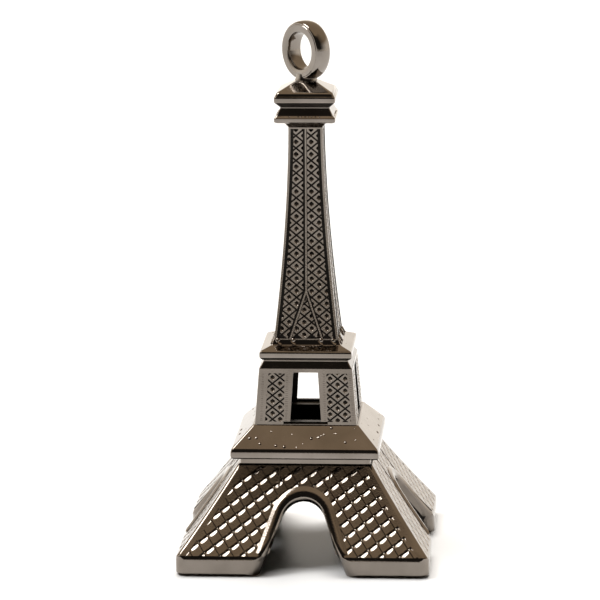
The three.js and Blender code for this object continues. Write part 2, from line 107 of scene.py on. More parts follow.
ARCADE_FACE_TOP = 16.92
ARCADE_FACE_TOP_HALF = 4.08
ARCADE_NECK_HALF = 3.72
ARCADE_NECK_FOOT = 17.45
WINDOW_SILL = 12.28
WINDOW_HEAD = 16.6
WINDOW_SILL_HALF = 1.36
WINDOW_HEAD_HALF = 1.08
SILL_STEP_HALF = 1.95
ROOM_HALF = 2.95
ROOM_FLOOR = 10.75
HALL_FLOOR = 12.07
HALL_FOOT_HALF = 4.12
HALL_TOP_HALF = 3.84
HALL_TOP = 16.4
BOX_HALF = 3.1
BOX_FOOT = 10.35
SOCKET_GAP = 0.04
PEG_CORNER = 0.02
# Inner and outer edges of the two lattice panels beside a window, from the face's middle.
ARCADE_PANELS = ((-1.92, -3.58), (1.92, 4.0))
ARCADE_DEPTH = 0.19
ARCADE_PAD_STEPS = ((0.66, 0.525), (0.66, -0.525))

SPIRE_TOP_HALF = 1.5
SPIRE_FOOT_HALF = 2.83
SPIRE_CURVE = 1.7
SPIRE_BORDER = 0.2
SPIRE_GROOVE = 0.26
SPIRE_DEPTH = 0.24
SPIRE_FORK = 23.4
SPIRE_PAD_CENTRE = (-0.84, 26.77)
SPIRE_PAD_STEPS = ((0.66, 0.545), (0.66, -0.545))

COLLAR_HALF = 1.5
COLLAR_TOP = 38.3
COLLAR_TOP_HALF = 1.85
DECK_EAVE_BOTTOM = 38.35
DECK_EAVE_TOP = 38.8
DECK_NECK_FOOT = 39.62
DECK_LEDGE = 0.18
GALLERY_NECK_HALF = 2.15
CORNICE_EAVE_BOTTOM = 40.18
CORNICE_EAVE_TOP = 40.56
ROOF_EDGE = 41.0
ROOF_TOP_HALF = 1.02
WASHER_POCKET_RADIUS = 1.32
WASHER_POCKET_TOP = 41.18

EYE_RADIUS = 2.62
EYE_HOLE_RADIUS = 1.62
EYE_HALF_THICKNESS = 0.78
EYE_CENTRE = EYE_TOP - EYE_RADIUS
EYE_TURN = math.radians(47)
STEM_RADIUS = 0.8

PANEL_DEPTH = 0.14
SINK = 0.3  # how deep a relief runs into the body that carries it
OVERRUN = 1  # how far a cutter runs past what it cuts

# How far below a face the metal is painted dark, as painted shade in hollows and recesses.
LEG_DARK = 0.9
ARCADE_DARK = 0.13
SILL_DARK = 0.05
SPIRE_DARK = 0.14

# Below these angles, in degrees, an edge is shaded smooth.
SHARP = 32
LEG_SHARP = 14


# ---------------------------------------------------------------- materials
def node(tree, kind, **values):
    made = tree.nodes.new(kind)
    for name, value in values.items():
        setattr(made, name, value)
    return made


def noise(tree, source, scale, detail, roughness=0.5):
    made = node(tree, "ShaderNodeTexNoise")
    made.inputs["Scale"].default_value = scale
    made.inputs["Detail"].default_value = detail
    made.inputs["Roughness"].default_value = roughness
    tree.links.new(source, made.inputs["Vector"])
    return made.outputs["Fac"]


def ramp(tree, source, stops):
    made = node(tree, "ShaderNodeValToRGB")
    elements = made.color_ramp.elements
    while len(elements) < len(stops):
        elements.new(0.5)
    for element, (position, colour) in zip(elements, stops):
        element.position = position
        element.color = (*colour, 1)
    tree.links.new(source, made.inputs["Fac"])
    return made.outputs["Color"]


def plated_metal(name, tone, shade, roughness, grain, grain_scale):
    """Dark plated zinc: cloudy colour, patchy gloss and the fine grain of the casting under the plating."""
    material = bpy.data.materials.new(name)
    material.use_nodes = True
    tree = material.node_tree
    shader = tree.nodes["Principled BSDF"]
    shader.inputs["Metallic"].default_value = 1.0
    place = node(tree, "ShaderNodeTexCoord").outputs["Object"]
    cloud = noise(tree, place, 420, 4)
    colour = ramp(tree, cloud, [(0.3, shade), (0.7, tone)])
    tree.links.new(colour, shader.inputs["Base Color"])
    patches = noise(tree, place, 1500, 3)
    gloss = ramp(tree, patches, [(0.3, (roughness,) * 3), (0.75, (roughness + 0.07,) * 3)])
    tree.links.new(gloss, shader.inputs["Roughness"])
    fine = noise(tree, place, grain_scale, 2, 0.6)
    bump = node(tree, "ShaderNodeBump")
    bump.inputs["Strength"].default_value = grain
    bump.inputs["Distance"].default_value = 0.02 * MM
    tree.links.new(fine, bump.inputs["Height"])
    tree.links.new(bump.outputs["Normal"], shader.inputs["Normal"])
    return material


# Each metal: name, light tone, dark tone, roughness, strength of the grain, scale of the grain.
LATTICE_METAL = plated_metal("lattice_gunmetal", (0.25, 0.22, 0.192), (0.2, 0.175, 0.15), 0.07, 0.25, 9000)
SMOOTH_METAL = plated_metal("smooth_gunmetal", (0.265, 0.235, 0.21), (0.21, 0.185, 0.16), 0.06, 0.12, 6000)
EYE_METAL = plated_metal("eye_gunmetal", (0.27, 0.245, 0.22), (0.22, 0.195, 0.17), 0.06, 0.2, 7000)
# Painted shade: near-black metal laid on hollows, recesses, window insides and eave undersides, which on the
# real object are dark only through shade. The recess metal is darker still, for the spire's grooves.
PAINTED_SHADE_METAL = plated_metal("painted_shade_casting", (0.045, 0.04, 0.035), (0.025, 0.022, 0.02), 0.4, 0.4, 5000)
PAINTED_RECESS_SHADE_METAL = plated_metal("lattice_recess_painted_shade", (0.018, 0.016, 0.014), (0.01, 0.009, 0.008), 0.2, 0.4, 5000)
STEEL = plated_metal("fastener_steel", (0.6, 0.59, 0.57), (0.5, 0.49, 0.47), 0.22, 0.3, 8000)


# ---------------------------------------------------------------- meshes
def solid(verts, faces):
    """A closed mesh object with its faces turned outwards."""
    mesh = bpy.data.meshes.new("solid")
    mesh.from_pydata([tuple(v) for v in verts], [], faces)
    bm = bmesh.new()
    bm.from_mesh(mesh)
    bmesh.ops.recalc_face_normals(bm, faces=bm.faces)
    bm.to_mesh(mesh)
    bm.free()
    obj = bpy.data.objects.new("solid", mesh)
    bpy.context.scene.collection.objects.link(obj)
    return obj


def discard(obj):
    mesh = obj.data
    bpy.data.objects.remove(obj)
    bpy.data.meshes.remove(mesh)


def combine(target, steps):
    """Booleans in order. steps holds (operation, object), and the objects are used up."""
    for operation, other in steps:
        modifier = target.modifiers.new("boolean", "BOOLEAN")
        modifier.operation = operation
        modifier.solver = "MANIFOLD"
        modifier.object = other
        graph = bpy.context.evaluated_depsgraph_get()
        graph.update()
        made = bpy.data.meshes.new_from_object(target.evaluated_get(graph))
        if not made.polygons:
            raise RuntimeError("a boolean left nothing: " + operation)
        target.modifiers.clear()
        used = target.data
        target.data = made
        bpy.data.meshes.remove(used)
        discard(other)
    return target


def quarter_turn(count):
    """The turn from the front face to the face a number of quarters round."""
    return Matrix.Rotation(count * math.pi / 2, 4, "Z")


def turned_copy(obj, quarters):
    copy = bpy.data.objects.new("solid", obj.data.copy())
    copy.data.transform(quarter_turn(quarters))
    bpy.context.scene.collection.objects.link(copy)
    return copy


def joined(objects):
    """Several separate shells as one mesh object."""
    bm = bmesh.new()
    for obj in objects:
        bm.from_mesh(obj.data)
    mesh = bpy.data.meshes.new("solid")
    bm.to_mesh(mesh)
    bm.free()
    for obj in objects:
        discard(obj)
    made = bpy.data.objects.new("solid", mesh)
    bpy.context.scene.collection.objects.link(made)
    return made


def on_four_faces(obj):
    """A front face's object with its three turned copies, as one object."""
    return joined([turned_copy(obj, k) for k in range(1, 4)] + [obj])


def eased(profile, steps=3):
    """A profile of (half, z, ease) corners, each rounded over its ease."""
    points = []
    last = len(profile) - 1
    for i, (half, z, ease) in enumerate(profile):
        here = Vector((half, z))
        if ease == 0 or i in (0, last):
            points.append(here)
            continue
        before = Vector(profile[i - 1][:2]) - here
        after = Vector(profile[i + 1][:2]) - here
        start = here + before.normalized() * min(ease, before.length * 0.45)
        end = here + after.normalized() * min(ease, after.length * 0.45)
        for k in range(steps + 1):
            t = k / steps
            points.append(start * (1 - t) ** 2 + here * 2 * t * (1 - t) + end * t**2)
    return points


def stack(levels, corner=0.1, corner_steps=3):
    """A closed stack of square sections, from (half, z) levels. The corner's radius may depend on z."""
    verts, faces = [], []
    ring = 4 * (corner_steps + 1)
    for half, z in levels:
        radius = min(corner(z) if callable(corner) else corner, half * 0.5)
        for quadrant in range(4):
            turn = quadrant * math.pi / 2
            for k in range(corner_steps + 1):
                angle = turn + k / corner_steps * math.pi / 2
                cx = (half - radius) * (1 if quadrant in (0, 3) else -1)
                cy = (half - radius) * (1 if quadrant in (0, 1) else -1)
                verts.append((cx + radius * math.cos(angle), cy + radius * math.sin(angle), z))
    rows = len(verts) // ring
    for row in range(rows - 1):
        for k in range(ring):
            a = row * ring + k
            b = row * ring + (k + 1) % ring
            faces.append((a, b, b + ring, a + ring))
    faces.append(tuple(range(ring))[::-1])
    faces.append(tuple(range((rows - 1) * ring, rows * ring)))
    return solid(verts, faces)


def prism(outline, near, far):
    """An outline of (x, z) points carried along Y."""
    n = len(outline)
    verts = [(x, near, z) for x, z in outline] + [(x, far, z) for x, z in outline]
    faces = [tuple(range(n)), tuple(range(2 * n - 1, n - 1, -1))]
    faces += [(k, n + k, n + (k + 1) % n, (k + 1) % n) for k in range(n)]
    return solid(verts, faces)


def lathe(profile, steps):
    """A profile of (radius, z) points that starts and ends on the axis, turned about Z."""
    verts, faces = [], []
    inner = profile[1:-1]
    for k in range(steps):
        angle = 2 * math.pi * k / steps
        verts += [(r * math.cos(angle), r * math.sin(angle), z) for r, z in inner]
    n = len(inner)
    bottom = len(verts)
    verts += [(0, 0, profile[0][1]), (0, 0, profile[-1][1])]
    for k in range(steps):
        a, b = k * n, (k + 1) % steps * n
        faces += [(a + i, b + i, b + i + 1, a + i + 1) for i in range(n - 1)]
        faces += [(bottom, b, a), (bottom + 1, a + n - 1, b + n - 1)]
    return solid(verts, faces)


def cylinder(radius, low, high, steps=48):
    return lathe([(0, low), (radius, low), (radius, high), (0, high)], steps)


def swept(stations):
    """A closed bar through a list of equal closed sections."""
    n = len(stations[0])
    verts = [point for section in stations for point in section]
    faces = []
    for row in range(len(stations) - 1):
        for k in range(n):
            a, b = row * n + k, row * n + (k + 1) % n
            faces.append((a, b, b + n, a + n))
    faces.append(tuple(range(n)))
    faces.append(tuple(range((len(stations) - 1) * n, len(stations) * n)))
    return solid(verts, faces)


def off_axis(x, y):
    """How far a point is from the tower's axis, measured square to the faces."""
    return max(abs(x), abs(y))


def finish_piece(obj, name, body, material, nodes, sharp=SHARP, in_painted_shade=None, dark=PAINTED_SHADE_METAL):
    """Scales to metres, sets the shading, names the piece and puts it on its body.

    A face has the dark metal, painted shade for hollows, recesses and undersides, where the shade mask holds
    at the face's middle (x, y, z).
    """
    mesh = obj.data
    mesh.transform(Matrix.Scale(MM, 4))
    bm = bmesh.new()
    bm.from_mesh(mesh)
    bmesh.ops.remove_doubles(bm, verts=bm.verts, dist=1e-7)
    limit = math.radians(sharp)
    for face in bm.faces:
        face.smooth = True
    for edge in bm.edges:
        edge.smooth = edge.calc_face_angle(math.pi) < limit
    bm.to_mesh(mesh)
    bm.free()
    mesh.materials.clear()
    mesh.materials.append(material)
    if in_painted_shade:
        mesh.materials.append(dark)
        for face in mesh.polygons:
            if in_painted_shade(*(face.center / MM)):
                face.material_index = 1
    even = obj.modifiers.new("even_normals", "WEIGHTED_NORMAL")
    even.keep_sharp = True
    even.weight = 100
    obj.name = name
    mesh.name = name
    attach(obj, body)
    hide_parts(*nodes)


# ---------------------------------------------------------------- relief
def pads(place, centre, steps, wanted, pad, fill=0.96, depth=PANEL_DEPTH):
    """A lattice of raised pads on a face.

    steps are the lattice's two steps in (x, z), place maps (x, z, rise) to a point in space and wanted(x, z)
    says which pad centres to keep. A pad is a grid of (p, q, height) spots: p and q run from -1 to 1 along
    the two steps, and the height is above the lattice's floor.
    """
    step_a, step_b = steps
    verts, faces = [], []
    reach = 30
    for i in range(-reach, reach + 1):
        for j in range(-reach, reach + 1):
            x = centre[0] + i * step_a[0] + j * step_b[0]
            z = centre[1] + i * step_a[1] + j * step_b[1]
            if not wanted(x, z):
                continue
            spots = []
            for p, q, height in [spot for row in pad for spot in row]:
                sx = x + fill / 2 * (p * step_a[0] + q * step_b[0])
                sz = z + fill / 2 * (p * step_a[1] + q * step_b[1])
                spots.append((sx, sz, height - depth))
            add_pad(verts, faces, place, spots, len(pad), len(pad[0]), depth)
    return solid(verts, faces)


def add_pad(verts, faces, place, spots, rows, columns, depth):
    """One pad: its top through rows by columns of spots, straight sides and a flat bottom."""
    first = len(verts)
    verts += [place(*spot) for spot in spots]
    for i in range(rows - 1):
        for j in range(columns - 1):
            a = first + i * columns + j
            faces.append((a, a + 1, a + 1 + columns, a + columns))
    rim = list(range(columns))
    rim += [i * columns + columns - 1 for i in range(1, rows)]
    rim += [(rows - 1) * columns + j for j in range(columns - 2, -1, -1)]
    rim += [i * columns for i in range(rows - 2, 0, -1)]
    bottom = len(verts)
    verts += [place(spots[k][0], spots[k][1], -depth - SINK) for k in rim]
    n = len(rim)
    for k in range(n):
        following = (k + 1) % n
        faces.append((first + rim[k], first + rim[following], bottom + following, bottom + k))
    faces.append(tuple(bottom + k for k in range(n)))


def scooped_pad(groove, fall, reach=0.95, half_width=0.33, middle=-0.6):
    """A flat pad with a tilted elliptical facet let into it, which faces the upper left.

    The facet reaches along p and is half_width wide about q = middle. It drops by fall for each unit of its
    width. The pad's edges drop by groove.
    """
    rows = []
    for p in SCOOP_KNOTS:
        half = half_width * math.sqrt(max(0.001, 1 - (p / reach) ** 2))
        edge = PANEL_DEPTH - (groove if abs(p) == 1 else 0)
        low = edge - fall * 2 * half
        rows.append([
            (p, -1, edge - groove),
            (p, middle - half - 0.03, edge),
            (p, middle - half, low),
            (p, middle + half, edge),
            (p, 0.93, edge),
            (p, 1, edge - groove),
        ])
    return rows


def pitted_diamond(p, q):
    """Height of a flat diamond with bevelled sides and a steep pit in its middle."""
    top, bevel = 0.2, 0.13
    pit_radius, pit_depth = 0.46, 0.32
    edge = max(abs(p), abs(q))
    height = top if edge < 1 - bevel else top * (1 - edge) / bevel
    pit = max(0, 1 - math.hypot(p, q) / pit_radius)
    return height - pit_depth * pit


SCOOP_KNOTS = (-1, -0.92, -0.86, -0.74, -0.55, -0.3, 0, 0.3, 0.55, 0.74, 0.86, 0.92, 1)
SCOOPED_PAD = scooped_pad(groove=0.06, fall=0.17)
SHALLOW_PAD = scooped_pad(groove=0.03, fall=0.06)
DIAMOND_KNOTS = (-1, -0.86, -0.46, -0.22, 0, 0.22, 0.46, 0.86, 1)
DIAMOND_PAD = [[(p, q, pitted_diamond(p, q)) for q in DIAMOND_KNOTS] for p in DIAMOND_KNOTS]


def bar(place, path, section):
    """A bar along a path of (x, z) points; section is a list of (across, rise) points."""
    stations = []
    for k, (x, z) in enumerate(path):
        before = Vector(path[max(k - 1, 0)])
        after = Vector(path[min(k + 1, len(path) - 1)])
        along = (after - before).normalized()
        across = Vector((along.y, -along.x))
        stations.append([place(x + across.x * d, z + across.y * d, rise) for d, rise in section])
    return swept(stations)


def line(start, end, steps):
    """Evenly spaced points from start to end."""
    return [
        (start[0] + (end[0] - start[0]) * k / steps, start[1] + (end[1] - start[1]) * k / steps)
        for k in range(steps + 1)
    ]


# ---------------------------------------------------------------- leg base
def leg_half(z):
    """Half width of the legs at a height: a straight taper with a slight sag."""
    rise = (z - PLINTH_TOP) / (LEG_TOP - PLINTH_TOP)
    return FOOT_HALF + (LEG_TOP_HALF - FOOT_HALF) * rise - LEG_SAG * 4 * rise * (1 - rise)


def on_leg(x, z, rise):
    """A point on the front face of the legs, raised square to the face."""
    return (x, -leg_half(z) - rise * LEG_NORMAL_OUT, z + rise * LEG_NORMAL_UP)


def base_corner(z):
    """Radius of the upright corners: wide on the plinths, narrow on the hips of the legs."""
    blend = min(max((z - PLINTH_TOP + 0.1) / 0.25, 0), 1)
    return PLINTH_CORNER + (HIP_CORNER - PLINTH_CORNER) * blend


def leg_skin(offset):
    """The legs from the plinth up, moved out or in by an offset."""
    steps = 10
    levels = []
    for k in range(steps + 1):
        z = PLINTH_TOP + (LEG_TOP - PLINTH_TOP) * k / steps
        levels.append((leg_half(z) + offset, z))
    return stack(levels, HIP_CORNER)


def base_skin():
    """Plinths, legs and neck as one rounded profile."""
    profile = [
        (FOOT_HALF - 0.27, 0, 0),
        (FOOT_HALF, PLINTH_FOOT_CHAMFER, 0.07),
        (FOOT_HALF, PLINTH_TOP, PLINTH_EDGE),
    ]
    steps = 8
    for k in range(1, steps):
        z = PLINTH_TOP + (LEG_TOP - PLINTH_TOP) * k / steps
        profile.append((leg_half(z), z, 0))
    profile += [
        (LEG_TOP_HALF, LEG_TOP, 0.06),
        (BASE_NECK_HALF, BASE_NECK_FOOT, 0.05),
        (BASE_NECK_HALF, BASE_TOP, 0),
    ]
    return stack(eased(profile, 5), base_corner, 9)


def arch_circle(band):
    """Centre height, radius and ground half width of the arch's outline, moved out by band."""
    lean = math.hypot(1, ARCH_SPLAY)
    ground = ARCH_GROUND_HALF + band * lean
    top = ARCH_TOP + band
    centre = (lean * top - ground) / (lean - ARCH_SPLAY)
    return centre, top - centre, ground


def arch_path(band, low, steps=24):
    """(x, z) points up one side of the arch, round its head and down the other."""
    centre, radius, ground = arch_circle(band)
    start = math.atan(ARCH_SPLAY)
    foot = ground - ARCH_SPLAY * low
    head = []
    for k in range(steps + 1):
        angle = start + (math.pi - 2 * start) * k / steps
        head.append((radius * math.cos(angle), centre + radius * math.sin(angle)))
    side = line((foot, low), head[0], 6)[:-1]
    return side + head + [(-x, z) for x, z in side][::-1]


def in_leg_panel(x, z):
    """Whether a pad at (x, z) shows in the panel, which trims the pads on its edges."""
    centre, radius, ground = arch_circle(ARCH_RIM * 0.6)
    half = leg_half(z) - LEG_BORDER
    pad_reach = 0.45
    if abs(x) > half + pad_reach or not PLINTH_TOP - 0.3 <= z <= LEG_PANEL_TOP + pad_reach:
        return False
    in_head = z > centre and math.hypot(x, z - centre) < radius
    in_sides = z <= centre and abs(x) < ground - ARCH_SPLAY * z
    return not (in_head or in_sides)


def leg_panel_prism():
    """Cutter for the recessed panel of one face."""
    foot = PLINTH_TOP + 0.18
    steps = 8
    right = []
    for k in range(steps + 1):
        z = foot + (LEG_PANEL_TOP - foot) * k / steps
        right.append((leg_half(z) - LEG_BORDER, z))
    outline = right + [(-x, z) for x, z in right][::-1]
    return prism(outline, -FOOT_HALF - OVERRUN, -LEG_TOP_HALF + 1.2)


# (z, radius) of the rounded inner corners, from the ground up.
FLARE = ((-OVERRUN, 1.3), (1.35, 1.3), (1.75, 1.05), (2.3, 0.7), (3.0, 0.46), (4.1, 0.3), (4.8, 0.02))


def arch_foot_flare():
    """Cutter for the rounded inner corners of two plinths, which narrow into the arch's inner edge."""
    _, _, ground = arch_circle(ARCH_CLEARANCE)
    sections = []
    for z, radius in FLARE:
        front = -leg_half(z) - 0.13 if z > PLINTH_TOP else -FOOT_HALF
        wall = ground - ARCH_SPLAY * z
        right = []
        for k in range(7):
            angle = math.pi * (1 + k / 12)
            x = wall + radius + radius * math.cos(angle)
            y = front + radius + radius * math.sin(angle)
            right.append((x, y))
        right.append((wall + radius, -FOOT_HALF - OVERRUN))
        left = [(-x, y) for x, y in right][::-1]
        sections.append([(x, y, z) for x, y in left + right])
    return swept(sections)


def leg_lattices():
    """The pads of all four faces. Those of the two side faces are shallower."""
    lattices = []
    for side in range(4):
        made = pads(
            on_leg,
            LEG_PAD_CENTRE,
            LEG_PAD_STEPS,
            wanted=in_leg_panel,
            pad=SHALLOW_PAD if side % 2 else SCOOPED_PAD,
            fill=0.985,
        )
        combine(made, [("INTERSECT", leg_panel_prism())])
        made.data.transform(quarter_turn(side))
        lattices.append(made)
    return joined(lattices)


def leg_rib(side):
    """A thin upright rib from the arch's head to the top of one face."""
    x = side * LEG_RIB_X
    root = -SINK - PANEL_DEPTH
    section = [(-0.12, root), (-0.09, -0.03), (-0.04, 0.03), (0.04, 0.03), (0.09, -0.03), (0.12, root)]
    return bar(on_leg, line((x, ARCH_TOP - 0.4), (x, LEG_TOP - 0.1), 6), section)


def arch_rim():
    """The raised rim round one arch: rounded towards the opening, bevelled towards the lattice."""
    root = -0.7
    section = [(0, root), (0, -0.12), (0.04, -0.02), (0.12, 0.07), (0.22, 0.12), (0.34, 0.15), (0.5, 0.165)]
    section += [(0.6, 0.165), (0.64, 0.16), (0.95, 0.03), (0.98, -0.02), (ARCH_RIM, -0.16), (ARCH_RIM, root)]
    return bar(on_leg, arch_path(0, PLINTH_TOP + 0.1), section)


def leg_base():
    hollow = stack([
        (FOOT_HALF - BASE_WALL, -OVERRUN),
        (FOOT_HALF - BASE_WALL, PLINTH_TOP / 2),
        (leg_half(BASE_CEILING) - BASE_WALL, BASE_CEILING),
    ])
    opening = arch_path(ARCH_CLEARANCE, -OVERRUN)
    tunnel = prism(opening, -FOOT_HALF - OVERRUN, FOOT_HALF + OVERRUN)
    across = turned_copy(tunnel, 1)
    body = combine(base_skin(), [
        ("DIFFERENCE", on_four_faces(leg_panel_prism())),
        ("UNION", leg_skin(-PANEL_DEPTH)),
        ("UNION", leg_lattices()),
        ("DIFFERENCE", hollow),
        ("DIFFERENCE", tunnel),
        ("DIFFERENCE", across),
        ("UNION", on_four_faces(arch_rim())),
        ("UNION", on_four_faces(leg_rib(-1))),
        ("UNION", on_four_faces(leg_rib(1))),
        ("DIFFERENCE", on_four_faces(arch_foot_flare())),
        ("DIFFERENCE", cylinder(SCREW_HOLE_RADIUS, BASE_CEILING - OVERRUN, BASE_TOP + OVERRUN)),
    ])

    # Painted shade: the hollow's inside, the tunnels and the deep plinth walls take the dark metal.
    def in_painted_shade(x, y, z):
        return off_axis(x, y) < leg_half(max(z, PLINTH_TOP)) - LEG_DARK and z < BASE_CEILING + 0.1

    finish_piece(
        body, "leg_base_casting", "tower", LATTICE_METAL, ["leg_base"], LEG_SHARP, in_painted_shade
    )


# ---------------------------------------------------------------- platforms
def speck(centre, normal, width, radius):
    """A shallow dome of plating: a ball sunk into the surface until it is width across."""
    steps = 10
    angles = [math.pi * (k / steps - 0.5) for k in range(steps + 1)]
    profile = [(radius * math.cos(a), radius * math.sin(a)) for a in angles]
    made = lathe([(0, profile[0][1])] + profile[1:-1] + [(0, profile[-1][1])], 16)
    sink = math.sqrt(radius**2 - (width / 2) ** 2)
    made.data.transform(Matrix.Translation(Vector(centre) - Vector(normal) * sink))
    return made


def slope_specks(counts, low, high, width):
    """Specks on the four slopes between two (half, z) levels: evenly spread, each at a random spot."""
    run, climb = low[0] - high[0], high[1] - low[1]
    slant = math.hypot(run, climb)
    normal = (0, -climb / slant, run / slant)
    for side, count in enumerate(counts):
        for k in range(count):
            t = random.uniform(0.12, 0.9)
            half = low[0] - run * t
            x = (2 * (k + random.uniform(0.1, 0.9)) / count - 1) * 0.92 * half
            z = low[1] + climb * t
            made = speck((x, -half, z), normal, width * random.uniform(0.7, 1.2), width * 0.9)
            made.data.transform(quarter_turn(side))
            yield made


def add_specks(body, specks):
    """Joins specks to a body one after the other, because two of them may touch."""
    return combine(body, [("UNION", one) for one in specks])


def first_platform():
    body = stack(
        eased([
            (BASE_NECK_HALF, FIRST_BOTTOM, 0),
            (FIRST_HALF, FIRST_EAVE_BOTTOM, 0.24),
            (FIRST_HALF, FIRST_EAVE_TOP, 0.3),
            (FIRST_TOP_HALF, FIRST_TOP, 0.1),
            (FIRST_TOP_HALF - 0.3, FIRST_TOP, 0),
        ], 5),
        0.2,
    )
    socket_half = BOX_HALF + SOCKET_GAP
    socket = stack([(socket_half, BOX_FOOT - 0.06), (socket_half, FIRST_TOP + OVERRUN)], PEG_CORNER)
    combine(body, [("DIFFERENCE", socket)])
    low, high = (FIRST_HALF, FIRST_EAVE_TOP), (FIRST_TOP_HALF, FIRST_TOP)
    add_specks(body, slope_specks((17, 8, 8, 8), low, high, 0.27))

    # Painted shade: the underside of the eave and its lower edge take the dark metal.
    def in_painted_shade(x, y, z):
        return z < FIRST_EAVE_BOTTOM + 0.1

    name = "first_platform_casting"
    finish_piece(body, name, "tower", SMOOTH_METAL, ["first_platform"], in_painted_shade=in_painted_shade)


def on_skirt(x, z, rise):
    """A point on the front of the skirt round the spire's foot."""
    t = (z - SKIRT_FOOT) / (SECOND_TOP - SKIRT_FOOT)
    return (x, -(SKIRT_FOOT_HALF + (SKIRT_TOP_HALF - SKIRT_FOOT_HALF) * t) - rise, z)


def second_platform():
    body = stack(
        eased([
            (ARCADE_NECK_HALF, SECOND_BOTTOM, 0),
            (SECOND_HALF, SECOND_EAVE_BOTTOM, 0.16),
            (SECOND_HALF, SECOND_EAVE_TOP, 0.2),
            (SKIRT_FOOT_HALF, SKIRT_FOOT, 0.08),
            (SKIRT_TOP_HALF, SECOND_TOP, 0),
        ], 5),
        0.12,
    )
    ridge = [(-0.12, -0.2), (-0.1, 0.04), (-0.05, 0.12), (0.02, 0.15), (0.08, 0.1), (0.1, 0.02), (0.12, -0.2)]
    for x in SKIRT_RIDGES:
        path = [(x, 19.2), (x + 0.1, 19.08), (x + 0.24, 18.96), (x + 0.42, 18.88)]
        combine(body, [("UNION", on_four_faces(bar(on_skirt, path, ridge)))])
    low, high = (SECOND_HALF, SECOND_EAVE_TOP), (SKIRT_FOOT_HALF, SKIRT_FOOT)
    add_specks(body, slope_specks((3, 2, 2, 2), low, high, 0.14))
    knobs = [speck(on_skirt(x, SKIRT_FOOT + 0.42, 0), (0, -0.93, 0.37), 0.42, 0.25) for x in SKIRT_KNOBS]
    combine(body, [("UNION", on_four_faces(joined(knobs)))])

    # Painted shade: the underside of the platform up to the eave takes the dark metal.
    def in_painted_shade(x, y, z):
        return SECOND_BOTTOM + 0.05 < z < SECOND_EAVE_BOTTOM + 0.07

    name = "second_platform_casting"
    finish_piece(body, name, "tower", SMOOTH_METAL, ["second_platform"], in_painted_shade=in_painted_shade)


# ---------------------------------------------------------------- arcade
def arcade_half(z):
    rise = (z - FIRST_TOP) / (ARCADE_FACE_TOP - FIRST_TOP)
    return ARCADE_HALF + (ARCADE_FACE_TOP_HALF - ARCADE_HALF) * rise


def on_arcade(x, z, rise):
    return (x, -arcade_half(z) - rise, z)


def arcade_skin(offset):
    return stack([(ARCADE_HALF + offset, FIRST_TOP), (ARCADE_FACE_TOP_HALF + offset, ARCADE_FACE_TOP)], 0.12)


def arcade_panel(inner, outer):
    """Cutter for the recess of one lattice panel."""
    low, high = WINDOW_SILL - 0.02, WINDOW_HEAD - 0.08
    narrowing = (ARCADE_HALF - ARCADE_FACE_TOP_HALF) * (high - low) / (ARCADE_FACE_TOP - FIRST_TOP)
    way = 1 if outer > 0 else -1
    outline = [(inner, low), (outer, low), (outer - way * narrowing, high), (inner - way * 0.1, high)]
    return prism(outline, -ARCADE_HALF - OVERRUN, -ARCADE_FACE_TOP_HALF + 0.5)


def arcade_lattice(inner, outer):
    low, high = WINDOW_SILL - 0.4, WINDOW_HEAD + 0.3
    start = (-2.9, 14.05) if inner < 0 else (2.81, 14.5)
    nearest, furthest = sorted((inner, outer))
    lattice = pads(
        on_arcade,
        start,
        ARCADE_PAD_STEPS,
        wanted=lambda x, z: nearest - 0.6 < x < furthest + 0.6 and low < z < high,
        pad=DIAMOND_PAD,
        depth=ARCADE_DEPTH,
    )
    return combine(lattice, [("INTERSECT", arcade_panel(inner, outer))])


def ticked_band(x_low, x_high):
    """A narrow band of fine raised ticks up one face, from its foot to its head."""
    ticks = []
    z = WINDOW_SILL + 0.1
    while z < WINDOW_HEAD - 0.1:
        t = (z - WINDOW_SILL) / (WINDOW_HEAD - WINDOW_SILL)
        x = x_low + (x_high - x_low) * t
        wide, tall = random.uniform(0.08, 0.12), random.uniform(0.04, 0.06)
        rise = random.uniform(0.02, 0.04)
        ticks.append(bar(on_arcade, [(x - wide, z), (x + wide, z)], [(-tall, -0.1), (0, rise), (tall, -0.1)]))
        z += random.uniform(0.13, 0.19)
    return joined(ticks)


